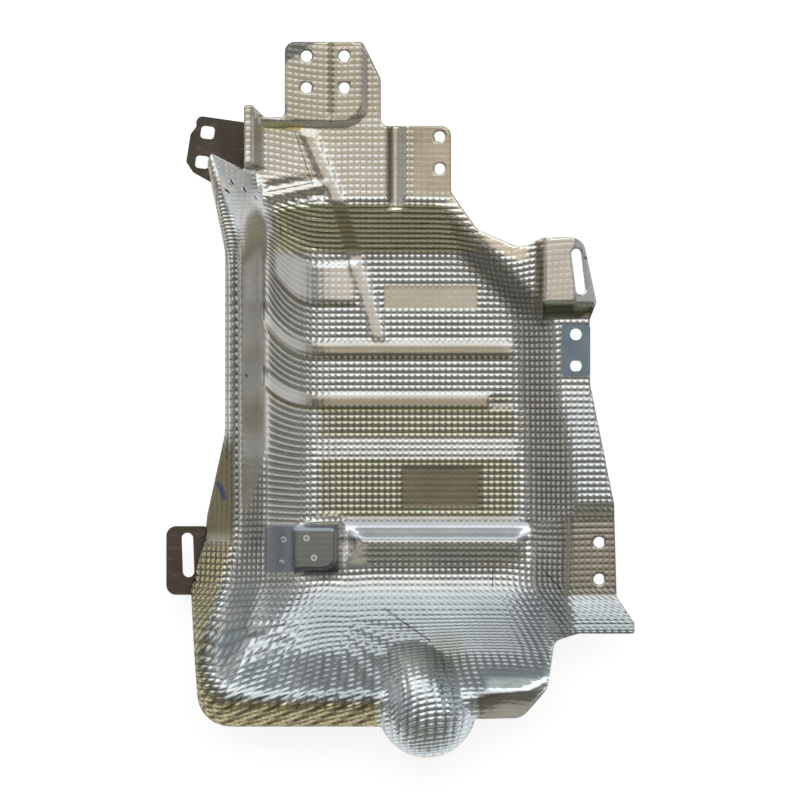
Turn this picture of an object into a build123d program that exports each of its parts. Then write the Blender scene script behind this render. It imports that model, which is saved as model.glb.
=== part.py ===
from build123d import *
from math import cos, hypot, radians, sin
import os

# A pressed aluminium heat shield lying on the underside of its floor, hollow side up.
# Millimetres. X runs to the right, Y to the end with the mounting tab, Z up out of the hollow.
# Every height is the height of the sheet's upper face.

# Sheet and steel
sheet = 1.0
steel = 2.0
rivet_reach = 0.6
rivet_play = 0.1

# Floor of the tub
floor_left = -65.6
floor_right = 92.0
floor_top = 118.4
floor_bottom = -148.0

# Walls: how far each has moved out at the heights of the three bends and far above them
bend_heights = (0.0, 12.0, 30.0, 65.0, 100.0)
left_wall_reach = (0.0, 20.0, 44.0, 62.0, 80.0)
bottom_wall_reach = (0.0, 24.0, 55.0, 91.0, 127.0)
right_wall_slope = 0.8
right_wall_flare = 16.0
corner_wall_line = 169.0
corner_wall_slope = 0.465
hollow_top = 150.0
knee = (-118.0, -140.0, -140.0, -110.0, -110.0)
knee_bulge = (4.0, 8.0, 18.0, 29.0, 29.0)
left_corner_radius = 12.0
left_corner_growth = 0.35
corner_radius = 40.0
corner_growth = 0.8

# Rim along the left and the bottom, with a lip that falls away outside
rim_height = 66.0
bottom_rim_height = 60.0
rim_line = -131.0
rim_wing = -155.0
rim_bulge = -160.0
rim_bulge_y = -205.0
rim_fall_start = -170.0
rim_right = 116.0
bottom_rim_line = -240.0
notch_left = 60.0
notch_right = 78.0
notch_depth = 11.0
right_side_bottom = -188.0
lip_angle = 40.0
lip_depth = 34.0

# Flanges
flange_height = 38.0
top_slope_end = 156.0
bend_radius = 6.0
mid_flange_start = 12.0
mid_flange_end = -82.0
mid_flange_height = 48.0
low_flange_start = -92.0
low_flange_end = -157.0
low_flange_height = 41.0
foot_start = -176.0
foot_height = 48.0
foot_end = -186.4
foot_back = -200.0
right_block_start = 30.0
slope_base = 90.0

# Plan of the trimmed edge
tab_end = 286.0
tab_left = -92.0
tab_right = -29.6
tab_step_right = -15.2
second_tab_end = 219.0
second_tab_right = 40.8
slot_tab_end = 129.6
slot_tab_left = 115.0
slot_tab_right = 150.0
slot_tab_foot = 78.0
right_edge = 152.0
low_flange_edge = 172.0
foot_edge = 187.0
bottom_edge = -260.8
bulge_edge = -167.0
left_edge = -139.2
wing_edge = -152.5
wing_end = 196.5
strip_edge = -124.4
strip_end = 235.2
shoulder_end = 225.6

# Raised and sunk forms
bead_height = 4.0
bead_width = 10.4
bead_left = -109.0
bead_1_middle = 41.2
bead_1_right = 90.0
bead_1_climb = 29.6
bead_2_middle = -0.4
bead_2_right = 72.0
bead_2_climb = 19.6
swell_top = -30.0
swell_ridge = -47.0
swell_bottom = -91.0
swell_height = 3.2
band_height = 1.6
band_width = 11.0
band_top = 212.0
band_top_x = -74.0
band_bottom_x = -16.0
pad_corner = 16.0
pad_end = 224.0
channel_left = -10.4
channel_right = 5.6
channel_depth = 8.0
channel_end = 150.0
strip_height = 50.0
strip_start = 186.0
strip_width = 6.5
slot_tab_height = 50.0
rib_left = -44.0
rib_right = 107.0
rib_end_run = 13.0
rib_top = -98.4
rib_ridge = -113.6
rib_bottom = -134.0
rib_height = 13.0
dome_x = 21.6
dome_y = -247.0
dome_radius = 39.0
dome_foot = 45.0
dome_height = 72.0
dome_round = 30.0

# Holes in the panel
bolt_hole = 9.0
tab_hole_pitch_x = 30.2
tab_hole_pitch_y = 25.4
tab_hole_x = -59.6
tab_hole_y = 261.8
second_hole_pitch = 25.6
second_hole_x = 31.6
second_hole_y = 197.4
low_hole_pitch = 29.4
low_hole_x = 159.0
low_hole_y = -128.4
slot_length = 36.8
slot_width = 8.0
slot_x = 142.4
slot_y = 102.4
slot_tilt = 97.0

# Upper left bracket, clinched under the flat flank of the wing
flank_peak = Vector(-150.4, 195.2, rim_height)
flank_low = Vector(-130.4, 132.0, rim_height)
flank_foot = Vector(-113.6, 172.8, flange_height)
flank_start = 128.0
ridge_foot_x = -139.3
ridge_foot_y = 167.0
ridge_top_x = -146.8
ridge_top_y = 224.6
upper_plate_tilt = 22.0
square_hole_x = (-153.4, -157.6)
square_hole_y = (213.2, 189.6)
upper_rivet_x = (-133.9, -124.0, -115.2)
upper_rivet_y = (173.6, 168.0, 162.4)
square_hole = 11.0
rivet_head = 5.6
rivet_shank = 4.0

# Lower left bracket, a strap clinched under two pads on the left wall
strap_width = 30.0
strap_middle = -119.0
strap_right = -52.0
strap_tab_left = -187.0
strap_tab_right = -150.0
strap_tab_width = 55.0
strap_tab_middle = -128.4
strap_slot_x = -169.6
strap_slot_y = -124.0
strap_slot_length = 35.5
strap_slot_width = 9.1
strap_slot_tilt = 92.0
pad_left = -84.0
pad_right = -50.4
pad_top = -100.8
pad_bottom = -138.4
wall_rivet_x = (-93.4, -95.0)
wall_rivet_y = (-111.8, -129.0)
pad_rivet_x = (-75.1, -69.0)
pad_rivet_y = (-110.8, -126.6)

# Right plate
plate_left = 128.8
plate_top = 60.0
plate_bottom = 19.2
plate_hole = 9.4
plate_hole_pitch = 25.2
plate_hole_x = 140.5
plate_hole_y = 39.8

# How far the working solids run past the sheet
beyond = 60.0
far = 600.0
base = -5.0


def corners(*triples):
    """Closed outline from corners given as x, y and the radius that rounds them."""
    points = [(x, y) for x, y, _ in triples]
    FilletPolyline(*points, radius=[r for _, _, r in triples], close=True)


# Sideways move of the left wall's lower face that keeps its middle facet as thick as the sheet
facet_run = left_wall_reach[2] - left_wall_reach[1]
facet_rise = bend_heights[2] - bend_heights[1]
facet_out = (hypot(facet_run, facet_rise) - facet_run) / facet_rise


def hollow_corners(bend, skin):
    """Outline of the tub's walls at one bend height, moved outward for the lower face."""
    height = bend_heights[bend]
    out = skin / 2
    left = floor_left - left_wall_reach[bend] - facet_out * skin
    right = floor_right + right_wall_slope * height + out
    bottom = floor_bottom - bottom_wall_reach[bend] - out
    diagonal = corner_wall_line + 1.414 * (corner_wall_slope * height + out)
    return (
        (left, hollow_top + out, 14 + out),
        (diagonal - hollow_top - out, hollow_top + out, 0),
        (right, diagonal - right, 18 + out),
        (right + right_wall_flare, bottom, corner_radius + corner_growth * height + out),
        (left - knee_bulge[bend], bottom, left_corner_radius + left_corner_growth * height + out),
        (left, knee[bend], corner_radius + out),
    )


def hollow(skin):
    """The space inside the tub, ruled from bend to bend."""
    with BuildPart() as space:
        for bend, height in enumerate(bend_heights):
            with BuildSketch(Plane.XY.offset(sheet + height - skin)):
                with BuildLine():
                    corners(*hollow_corners(bend, skin))
                make_face()
        loft(ruled=True)
    return space.part


def side_prism(points, left, right, rounds=()):
    """Solid under a profile of y and z points, running from one x to another."""
    with BuildPart() as prism:
        with BuildSketch(Plane.YZ.offset(left)):
            radii = list(rounds) + [0] * (len(points) - len(rounds))
            with BuildLine():
                corners(*[(y, z, r) for (y, z), r in zip(points, radii)])
            make_face()
        extrude(amount=right - left)
    return prism.part


def front_prism(points, bottom, top):
    """Solid under a profile of x and z points, running from one y up to another."""
    with BuildPart() as prism:
        with BuildSketch(Plane.XZ.offset(-top)):
            with BuildLine():
                Polyline(*points, close=True)
            make_face()
        extrude(amount=top - bottom)
    return prism.part


def frustum(height, depth, angle, *triples):
    """Solid that widens downward from an outline at its top, then runs straight down."""
    with BuildPart() as cone:
        with BuildSketch(Plane.XY.offset(height)):
            with BuildLine():
                corners(*triples)
            make_face()
        extrude(amount=-depth, taper=-angle)
        foot = cone.faces().sort_by(Axis.Z)[0]
        extrude(foot, amount=height - depth + 20)
    return cone.part


flank_normal = (flank_low - flank_peak).cross(flank_foot - flank_peak)
flank_plane = Plane(origin=flank_peak, x_dir=flank_peak - flank_low, z_dir=flank_normal)


def right_side(skin):
    """Space over the right flanges, where there is no rim."""
    with BuildPart() as space:
        with Locations((notch_left - skin / 2, right_side_bottom - skin / 2, 0)):
            Box(far, far, far, align=(Align.MIN, Align.MIN, Align.CENTER))
    return space.part


def rim_block(skin):
    """Left and bottom rim before the tub is sunk into it, with the falling lip outside."""
    inset = skin / 2
    foot = base - skin
    bottom = bottom_rim_line + inset
    profile = (
        (bottom - beyond, foot), (wing_end + beyond, foot), (wing_end + beyond, rim_height - skin),
        (rim_fall_start, rim_height - skin), (bottom, bottom_rim_height - skin),
        (bottom - beyond, bottom_rim_height - skin),
    )
    rim = frustum(
        rim_height - skin, lip_depth, lip_angle,
        (rim_wing + inset, wing_end + 8, 2), (rim_line - 2 + inset, flank_start, 40),
        (rim_line + inset, knee[3], 60), (rim_bulge + inset, rim_bulge_y, 25),
        (rim_bulge + 12 + inset, bottom, 22), (notch_left, bottom, 20),
        (notch_right, bottom + notch_depth, 34), (rim_right - inset, bottom + notch_depth, 14),
        (rim_right - inset, wing_end + 8, 2),
    )
    return (rim & side_prism(profile, -far, far)) - right_side(skin)


def above_flank(skin):
    """What the flat flank of the wing cuts away."""
    with BuildPart() as wedge:
        with BuildSketch(flank_plane.offset(-skin)):
            Rectangle(far, far)
        extrude(amount=far)
        with Locations((0, flank_start - skin / 2, 0)):
            Box(far, far, far, align=(Align.CENTER, Align.MIN, Align.CENTER), mode=Mode.INTERSECT)
    return wedge.part


def right_block(skin):
    """Right flanges, stepped along Y."""
    foot = base - skin
    profile = (
        (second_tab_end + beyond, foot), (second_tab_end + beyond, flange_height - skin),
        (mid_flange_start, flange_height - skin), (mid_flange_end, mid_flange_height - skin),
        (low_flange_start, low_flange_height - skin), (low_flange_end, low_flange_height - skin),
        (foot_start, foot_height - skin), (foot_back + skin / 2, foot_height - skin),
        (foot_back + skin / 2, foot),
    )
    rounds = (0, 0, 40, bend_radius, bend_radius, bend_radius, bend_radius, 0, 0)
    return side_prism(profile, right_block_start + skin / 2, foot_edge + beyond, rounds)


def top_block(skin):
    """Top flange, the slope from it down to the floor, and the channel sunk into it."""
    foot = base - skin
    shift = 0.4 * skin
    profile = (
        (slope_base, foot), (slope_base, sheet - skin), (floor_top + shift, sheet - skin),
        (top_slope_end + shift, flange_height - skin), (tab_end + beyond, flange_height - skin),
        (tab_end + beyond, foot),
    )
    block = side_prism(profile, strip_edge - 10, 60, (0, 0, 10 + skin, bend_radius + 4 - skin, 0, 0))
    out = skin / 2
    low = flange_height - channel_depth - skin
    channel = front_prism(
        ((channel_left - out, flange_height + beyond), (channel_left - out, flange_height - skin),
         (channel_left + 4 - out, low), (channel_right - 4 + out, low),
         (channel_right + out, flange_height - skin), (channel_right + out, flange_height + beyond)),
        channel_end - out, second_tab_end + beyond,
    )
    return block - channel


def strip_block(skin):
    """Narrow strip that stands up along the left of the top flange."""
    right = strip_edge + strip_width - skin / 2
    rise = strip_height - flange_height
    return front_prism(
        ((strip_edge - 12, base - skin), (strip_edge - 12, strip_height - skin), (right, strip_height - skin),
         (right + rise * 0.7, flange_height - skin), (right + rise * 0.7, base - skin)),
        strip_start + skin / 2, strip_end + beyond,
    )


def slot_tab_block(skin):
    """Raised block of the slotted tab, with a step at its foot and a steep side to the tub."""
    inset = skin / 2
    top, foot = slot_tab_height - skin, base - skin
    rise = slot_tab_height - flange_height
    side = side_prism(
        ((slot_tab_end + beyond, foot), (slot_tab_end + beyond, top), (slot_tab_foot + inset, top),
         (slot_tab_foot - rise + inset, top - rise), (slot_tab_foot - rise + inset, foot)),
        slot_tab_left - beyond, right_edge + beyond, (0, 0, 5, 0, 0),
    )
    front = front_prism(
        ((right_edge + beyond, foot), (right_edge + beyond, top), (slot_tab_left + inset, top),
         (slot_tab_left - rise + inset, top - 2.5 * rise), (slot_tab_left - rise + inset, foot)),
        slot_tab_foot - beyond, slot_tab_end + beyond,
    )
    return side & front


def rib_block(skin):
    """Cross rib with its ridge and sloping ends, and the flat pad beside it at the foot of the left wall."""
    inset = skin / 2
    foot, low, high = base - skin, sheet - skin, rib_height - skin
    ridge = side_prism(
        ((rib_bottom + inset, foot), (rib_bottom + inset, low), (rib_ridge, high), (rib_top - inset, low),
         (rib_top - inset, foot)),
        rib_left, rib_right, (0, 0, 4 - skin, 0, 0),
    )
    ends = front_prism(
        ((rib_left + inset, foot), (rib_left + inset, low), (rib_left + rib_end_run + inset, high),
         (rib_right - rib_end_run - inset, high), (rib_right - inset, low), (rib_right - inset, foot)),
        rib_bottom - 2, rib_top + 2,
    )
    pad_height = sheet + bend_heights[1]
    pad = frustum(
        pad_height - skin, pad_height, 30,
        (pad_left - 20, pad_bottom + inset, 4), (pad_right - inset, pad_bottom + inset, 10 - inset),
        (pad_right - inset, pad_top - inset, 4), (pad_left - 20, pad_top - inset, 4),
    )
    return (ridge & ends) + pad


def swell(skin):
    """Low ridge across the floor between the second bead and the rib."""
    low, foot = sheet - skin, base - skin
    return side_prism(
        ((swell_bottom, foot), (swell_bottom, low), (swell_ridge, low + swell_height), (swell_top, low),
         (swell_top, foot)),
        floor_left - 1.9 * swell_height, floor_right + 0.95 * swell_height,
    )


def dome(skin):
    """Rounded bulge in the bottom rim."""
    with BuildPart() as bulge:
        with BuildSketch(Plane.XZ.offset(-dome_y)):
            foot = base - skin
            with BuildLine():
                FilletPolyline(
                    (dome_x, foot), (dome_x + dome_foot - skin, foot),
                    (dome_x + dome_radius - 3 - skin, dome_height - skin), (dome_x, dome_height - skin),
                    radius=[0, dome_round - skin],
                )
                Line((dome_x, dome_height - skin), (dome_x, foot))
            make_face()
        revolve(axis=Axis((dome_x, dome_y, 0), (0, 0, 1)))
    return bulge.part


def ground(skin):
    """Slab under the floor of the tub."""
    with BuildPart() as slab:
        with BuildSketch(Plane.XY.offset(sheet - skin)):
            with Locations(((floor_left + floor_right) / 2, (floor_top + floor_bottom) / 2)):
                Rectangle(floor_right - floor_left + 40, floor_top - floor_bottom + 40)
        extrude(amount=base - sheet)
    return slab.part


def plain_form(skin):
    """Everything below the pressed surface, without its beads."""
    rims = (rim_block(skin) - above_flank(skin)) + right_block(skin)
    block = rims - hollow(skin)
    block = block + top_block(skin) + slot_tab_block(skin) + strip_block(skin)
    return block + rib_block(skin) + swell(skin) + dome(skin) + ground(skin)


def bead(middle, right, climb, skin):
    """Raised bead across the floor, which climbs towards the top end as it goes up the left wall."""
    half = bead_width / 2 - skin / 2 - 1
    reach = bead_left - floor_left
    end = 1 + skin / 2 / reach
    bends = [(floor_left + share * reach, middle + climb * share * share) for share in (end, 0.7, 0.35, 0)]
    lower_side = [(x, y - half, 0) for x, y in bends]
    upper_side = [(x, y + half, 0) for x, y in reversed(bends)]
    slab = frustum(
        rim_height, rim_height, 1,
        *lower_side, (right - skin / 2, middle - half, 0), (right - skin / 2, middle + half, 0), *upper_side,
    )
    return slab - hollow(skin - bead_height)


def tab_pad(skin):
    """Raised pad of the mounting tab."""
    inset = skin / 2
    top = flange_height + bead_height - skin
    return frustum(
        top, bead_height, 20,
        (tab_left - beyond, pad_end + inset, 0), (tab_right - inset, pad_end + inset, pad_corner - inset),
        (tab_right - inset, tab_end + beyond, 0), (tab_left - beyond, tab_end + beyond, 0),
    )


def band(skin):
    """Low smooth band that crosses the top flange and the slope and ends at the first bead."""
    half = band_width / 2 - skin / 2
    top, bottom = band_top - skin / 2, bead_1_middle
    slab = frustum(
        rim_height, rim_height, 1,
        (band_bottom_x - half, bottom, 0), (band_bottom_x + half, bottom, 0),
        (band_top_x + half, top, 0), (band_top_x - half, top, 0),
    )
    return slab & (top_block(skin - band_height) + ground(skin - band_height))


def formed(skin):
    """Everything below the pressed surface."""
    beads = (bead(bead_1_middle, bead_1_right, bead_1_climb, skin)
             + bead(bead_2_middle, bead_2_right, bead_2_climb, skin))
    return plain_form(skin) + beads + tab_pad(skin) + band(skin)


# Where the rivets sit: on the flank of the wing, on the wall's middle facet and on the pad
facet_foot_x = floor_left - left_wall_reach[1] - facet_out * sheet
facet_top_x = facet_foot_x - facet_run
facet_foot_z = sheet + bend_heights[1]
facet_top_z = sheet + bend_heights[2]
facet_normal = Vector(facet_top_z - facet_foot_z, 0, facet_foot_x - facet_top_x)


def above(plane, x, y):
    """Point of a plane at x and y."""
    normal, origin = plane.z_dir, plane.origin
    return Vector(x, y, origin.Z - (normal.X * (x - origin.X) + normal.Y * (y - origin.Y)) / normal.Z)


facet_plane = Plane(
    origin=(floor_left - left_wall_reach[1], pad_top, facet_foot_z), x_dir=(0, 1, 0), z_dir=facet_normal
)
pad_plane = Plane.XY.offset(facet_foot_z)
upper_rivet_planes = [
    Plane(origin=above(flank_plane, x, y), z_dir=flank_normal) for x, y in zip(upper_rivet_x, upper_rivet_y)
]
wall_rivet_planes = [
    Plane(origin=above(facet_plane, x, y), z_dir=facet_normal) for x, y in zip(wall_rivet_x, wall_rivet_y)
]
pad_rivet_planes = [
    Plane(origin=above(pad_plane, x, y), z_dir=(0, 0, 1)) for x, y in zip(pad_rivet_x, pad_rivet_y)
]

upper_face_form = formed(0)
lower_face_form = formed(sheet)

with BuildPart() as shield_panel:
    add(upper_face_form)
    add(lower_face_form, mode=Mode.SUBTRACT)

    with BuildSketch(Plane.XY.offset(base), mode=Mode.PRIVATE) as trim:
        with BuildLine():
            corners(
                (tab_left, tab_end, 8), (tab_right, tab_end, 4), (tab_step_right, tab_end - 30, 4),
                (tab_step_right, second_tab_end, 5), (second_tab_right, second_tab_end, 8),
                (second_tab_right, 166, 6), (62, 136, 12), (96, 121.5, 14),
                (slot_tab_left - 1, slot_tab_end, 4), (slot_tab_right - 4, slot_tab_end, 12),
                (slot_tab_right + 7, slot_tab_foot, 4), (right_edge - 0.5, slot_tab_foot - 14, 4),
                (right_edge, mid_flange_start, 10), (low_flange_edge - 1, low_flange_start + 8, 30),
                (low_flange_edge + 1, low_flange_end, 4), (foot_edge, foot_start - 2, 3),
                (foot_edge, foot_end, 1.5), (142, foot_end, 6), (123, foot_end - 6, 8),
                (117.5, -230, 14), (97, bottom_edge + 6.4, 14), (dome_x, bottom_edge + 6.4, 1),
                (dome_x, bottom_edge, 1), (bulge_edge + 7, bottom_edge, 26), (bulge_edge, -152, 10),
                (-156, -112, 20), (-154, -92, 20), (left_edge, -26, 40), (left_edge, 118, 60),
                (wing_edge - 1, wing_end - 8, 10), (wing_edge + 2, wing_end, 1),
                (strip_edge, wing_end - 13, 1), (strip_edge, strip_end, 2),
                (strip_edge + strip_width, strip_end, 2), (-108, shoulder_end, 6),
                (tab_left, shoulder_end, 4),
            )
        make_face()
        with Locations((dome_x, dome_y)):
            Circle(dome_radius)
    extrude(trim.sketch, amount=beyond * 2, mode=Mode.INTERSECT)

    with Locations((tab_hole_x, tab_hole_y, 0)):
        with GridLocations(tab_hole_pitch_x, tab_hole_pitch_y, 2, 2):
            Cylinder(bolt_hole / 2, beyond * 4, mode=Mode.SUBTRACT)
    with Locations((second_hole_x, second_hole_y, 0)):
        with GridLocations(0, second_hole_pitch, 1, 2):
            Cylinder(bolt_hole / 2, beyond * 4, mode=Mode.SUBTRACT)
    with Locations((low_hole_x, low_hole_y, 0)):
        with GridLocations(0, low_hole_pitch, 1, 2):
            Cylinder(bolt_hole / 2, beyond * 4, mode=Mode.SUBTRACT)
    with Locations((plate_hole_x, plate_hole_y, 0)):
        with GridLocations(0, plate_hole_pitch, 1, 2):
            Cylinder(plate_hole / 2, beyond * 4, mode=Mode.SUBTRACT)
    with BuildSketch():
        with Locations((slot_x, slot_y)):
            SlotOverall(slot_length, slot_width, rotation=slot_tilt)
    extrude(amount=beyond * 2, mode=Mode.SUBTRACT)

    for plane in upper_rivet_planes + wall_rivet_planes + pad_rivet_planes:
        with BuildSketch(plane.offset(steel)):
            Circle(rivet_shank / 2)
        extrude(amount=-2 * steel - sheet, mode=Mode.SUBTRACT)

shield_panel.part.label = "shield_panel"
export_step(shield_panel.part, "parts/shield_panel.step")


# The upper bracket is flat steel folded over a ridge: one side follows the underside of the flank
# and the other falls away to the left, under the lip
under_flank = flank_plane.offset(-sheet)
ridge_foot = above(under_flank, ridge_foot_x, ridge_foot_y)
ridge_top = above(under_flank, ridge_top_x, ridge_top_y)
along = (ridge_top - ridge_foot).normalized()
outward = Vector(0, 0, 1).cross(along).normalized()
fall = outward * cos(radians(upper_plate_tilt)) - Vector(0, 0, 1) * sin(radians(upper_plate_tilt))
upper_plate_plane = Plane(origin=ridge_foot, x_dir=along, z_dir=along.cross(fall))


def steel_slab(plane, *plan):
    """Flat piece of steel below a plane, cut to a plan outline of x, y and radius."""
    with BuildPart() as slab:
        with BuildSketch(plane):
            Rectangle(far, far)
        extrude(amount=-steel)
        with BuildSketch(Plane.XY):
            with BuildLine():
                corners(*plan)
            make_face()
        extrude(amount=beyond * 2, mode=Mode.INTERSECT)
    return slab.part


ridge_start = (ridge_foot_x, ridge_foot_y, 0)
ridge_end = (ridge_top_x, ridge_top_y, 0)
tab_of_bracket = steel_slab(
    upper_plate_plane,
    ridge_start, ridge_end, (-163, 227.2, 5), (-162.4, 218.4, 2), (-167.2, 212, 3), (-170.6, 190, 4),
    (-165, 181.5, 4),
)
flange_of_bracket = steel_slab(
    under_flank,
    ridge_start, (-120, 154, 4), (-108, 158, 4), (-112, 180, 8), (-119, 190, 8), (-119, 221.5, 2),
    ridge_end,
)

with BuildPart() as upper_left_bracket:
    add(tab_of_bracket)
    add(flange_of_bracket)
    for x, y in zip(square_hole_x, square_hole_y):
        with BuildSketch():
            with Locations((x, y)):
                RectangleRounded(square_hole, square_hole - 1, 3, rotation=-8)
        extrude(amount=beyond * 2, mode=Mode.SUBTRACT)
    for plane in upper_rivet_planes:
        with BuildSketch(plane.offset(steel)):
            Circle(rivet_shank / 2)
        extrude(amount=-3 * steel - sheet, mode=Mode.SUBTRACT)

upper_left_bracket.part.label = "upper_left_bracket"
export_step(upper_left_bracket.part, "parts/upper_left_bracket.step")


def rivets(planes):
    """Flush rivets through the sheet and the steel, one for each plane on the sheet's face."""
    with BuildPart() as group:
        for plane in planes:
            with BuildSketch(plane):
                Circle(rivet_head / 2)
            extrude(amount=rivet_reach)
            with BuildSketch(plane):
                Circle(rivet_shank / 2 - rivet_play)
            extrude(amount=-sheet - steel)
            with BuildSketch(plane.offset(-sheet - steel)):
                Circle(rivet_head / 2)
            extrude(amount=-rivet_reach)
    return group.part


upper_bracket_rivets = rivets(upper_rivet_planes)
upper_bracket_rivets.label = "upper_bracket_rivets"
export_step(upper_bracket_rivets, "parts/upper_bracket_rivets.step")

# The strap lies under the pad, follows the wall's middle facet and runs out level under the lip
with BuildPart() as lower_left_bracket:
    with BuildSketch(Plane.XZ):
        with BuildLine():
            strap_line = Polyline(
                (strap_tab_left, facet_top_z - sheet), (facet_top_x, facet_top_z - sheet),
                (facet_foot_x, facet_foot_z - sheet), (strap_right, facet_foot_z - sheet),
            )
            offset(strap_line, amount=-steel, side=Side.RIGHT)
        make_face()
    extrude(amount=far, both=True)
    with BuildSketch(Plane.XY):
        with Locations(((strap_tab_left + strap_tab_right) / 2, strap_tab_middle)):
            RectangleRounded(strap_tab_right - strap_tab_left, strap_tab_width, 8)
        with Locations(((strap_tab_left + strap_right) / 2 + 8, strap_middle)):
            RectangleRounded(strap_right - strap_tab_left - 16, strap_width, 6)
    extrude(amount=beyond, mode=Mode.INTERSECT)
    with BuildSketch():
        with Locations((strap_slot_x, strap_slot_y)):
            SlotOverall(strap_slot_length, strap_slot_width, rotation=strap_slot_tilt)
    extrude(amount=beyond, mode=Mode.SUBTRACT)
    for plane in wall_rivet_planes + pad_rivet_planes:
        with BuildSketch(plane.offset(steel)):
            Circle(rivet_shank / 2)
        extrude(amount=-3 * steel - sheet, mode=Mode.SUBTRACT)

lower_left_bracket.part.label = "lower_left_bracket"
export_step(lower_left_bracket.part, "parts/lower_left_bracket.step")

lower_bracket_rivets = rivets(wall_rivet_planes + pad_rivet_planes)
lower_bracket_rivets.label = "lower_bracket_rivets"
export_step(lower_bracket_rivets, "parts/lower_bracket_rivets.step")

with BuildPart() as right_plate:
    with BuildSketch(Plane.XY.offset(flange_height)):
        with Locations(((plate_left + right_edge) / 2, (plate_top + plate_bottom) / 2)):
            RectangleRounded(right_edge - plate_left, plate_top - plate_bottom, 2.5)
        with Locations((plate_hole_x, plate_hole_y)):
            with GridLocations(0, plate_hole_pitch, 1, 2):
                Circle(plate_hole / 2, mode=Mode.SUBTRACT)
    extrude(amount=steel)

right_plate.part.label = "right_plate"
export_step(right_plate.part, "parts/right_plate.step")
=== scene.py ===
import bpy
import numpy as np
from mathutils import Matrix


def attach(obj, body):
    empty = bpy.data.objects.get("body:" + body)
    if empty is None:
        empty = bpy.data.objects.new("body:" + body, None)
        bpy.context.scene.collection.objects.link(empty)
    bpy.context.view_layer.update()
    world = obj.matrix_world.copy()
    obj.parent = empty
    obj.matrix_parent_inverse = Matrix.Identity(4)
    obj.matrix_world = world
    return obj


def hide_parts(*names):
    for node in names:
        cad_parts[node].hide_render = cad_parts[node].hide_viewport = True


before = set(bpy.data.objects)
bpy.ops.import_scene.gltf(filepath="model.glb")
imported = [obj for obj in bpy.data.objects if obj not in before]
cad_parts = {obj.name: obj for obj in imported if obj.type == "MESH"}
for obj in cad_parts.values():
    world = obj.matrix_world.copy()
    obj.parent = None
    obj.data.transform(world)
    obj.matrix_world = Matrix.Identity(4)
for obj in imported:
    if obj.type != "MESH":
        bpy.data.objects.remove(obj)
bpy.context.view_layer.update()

# Shield panel: one sheet of bright aluminium, embossed all over with small dimples and then
# drawn in a press into a deep tub with flanges, beads, a cross rib and a round bulge.
# Lengths are in millimetres here, and become metres when the mesh is made. RASTER is the step of the
# plan grid that the form is worked out on, and SAMPLES the number of mesh cells along one dimple.
MM = 0.001
SHEET = 1.0
RASTER = 0.8
DIMPLE_X, DIMPLE_Y = 4.9, 4.8
SAMPLES = 3
DIMPLE_RISE = 1.0

raster_x = np.arange(-200, 200 + RASTER / 2, RASTER)
raster_y = np.arange(-300, 300 + RASTER / 2, RASTER)
plan_x, plan_y = np.meshgrid(raster_x, raster_y)


def look_up(field, x, y):
    """Bilinear value of a raster at plan points, from the four cells round each, weighed by nearness."""
    u = np.clip((x - raster_x[0]) / RASTER, 0, len(raster_x) - 1.001)
    v = np.clip((y - raster_y[0]) / RASTER, 0, len(raster_y) - 1.001)
    i, j = u.astype(int), v.astype(int)
    u, v = u - i, v - j
    low = field[j, i] * (1 - u) + field[j, i + 1] * u
    high = field[j + 1, i] * (1 - u) + field[j + 1, i + 1] * u
    return low * (1 - v) + high * v


def blur(field, width):
    """Raster smoothed by a bell curve of that width in millimetres, first along x and then along y."""
    reach = int(3 * width / RASTER) + 1
    steps = np.arange(-reach, reach + 1)
    weights = np.exp(-0.5 * (steps * RASTER / width) ** 2)
    weights /= weights.sum()
    rows, columns = field.shape
    padded = np.pad(field, reach, mode="edge")
    across = sum(w * padded[:, k:k + columns] for k, w in enumerate(weights))
    return sum(w * across[k:k + rows, :] for k, w in enumerate(weights))


def ease(value, start, end):
    """0 before start, 1 after end, and a smooth S curve between them."""
    t = np.clip((value - start) / (end - start), 0, 1)
    return t * t * (3 - 2 * t)


def inside(value, low, high, edge):
    """1 between two values and 0 outside them, with an S curve as wide as edge at each."""
    half = edge / 2
    return ease(value, low - half, low + half) * ease(-value, -high - half, -high + half)


def lower(a, b, blend):
    """The lower of two surfaces, rounded over where they are within blend of each other."""
    t = np.clip(0.5 + 0.5 * (b - a) / blend, 0, 1)
    return b + (a - b) * t - blend * t * (1 - t)


def higher(a, b, blend):
    """The higher of two surfaces, rounded in where they meet."""
    return -lower(-a, -b, blend)


def rounded_outline(*corners):
    """Closed outline through corners of x, y and radius, each turned into an arc of 7 points."""
    points = np.array([c[:2] for c in corners], float)
    radius = np.array([max(c[2], 0.01) for c in corners])[:, None]
    back = np.roll(points, 1, axis=0) - points
    on = np.roll(points, -1, axis=0) - points
    back /= np.linalg.norm(back, axis=1, keepdims=True)
    on /= np.linalg.norm(on, axis=1, keepdims=True)
    half = np.arccos(np.clip((back * on).sum(1, keepdims=True), -1, 1)) / 2
    middle = (back + on) / np.linalg.norm(back + on, axis=1, keepdims=True)
    centre = points + middle * radius / np.sin(half)
    start = points + back * radius / np.tan(half) - centre
    end = points + on * radius / np.tan(half) - centre
    share = np.linspace(0, 1, 7)[None, :, None]
    turn = (np.pi - 2 * half)[:, None, :]
    arc = np.sin((1 - share) * turn) * start[:, None] + np.sin(share * turn) * end[:, None]
    return (centre[:, None] + arc / np.sin(turn)).reshape(-1, 2)


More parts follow.
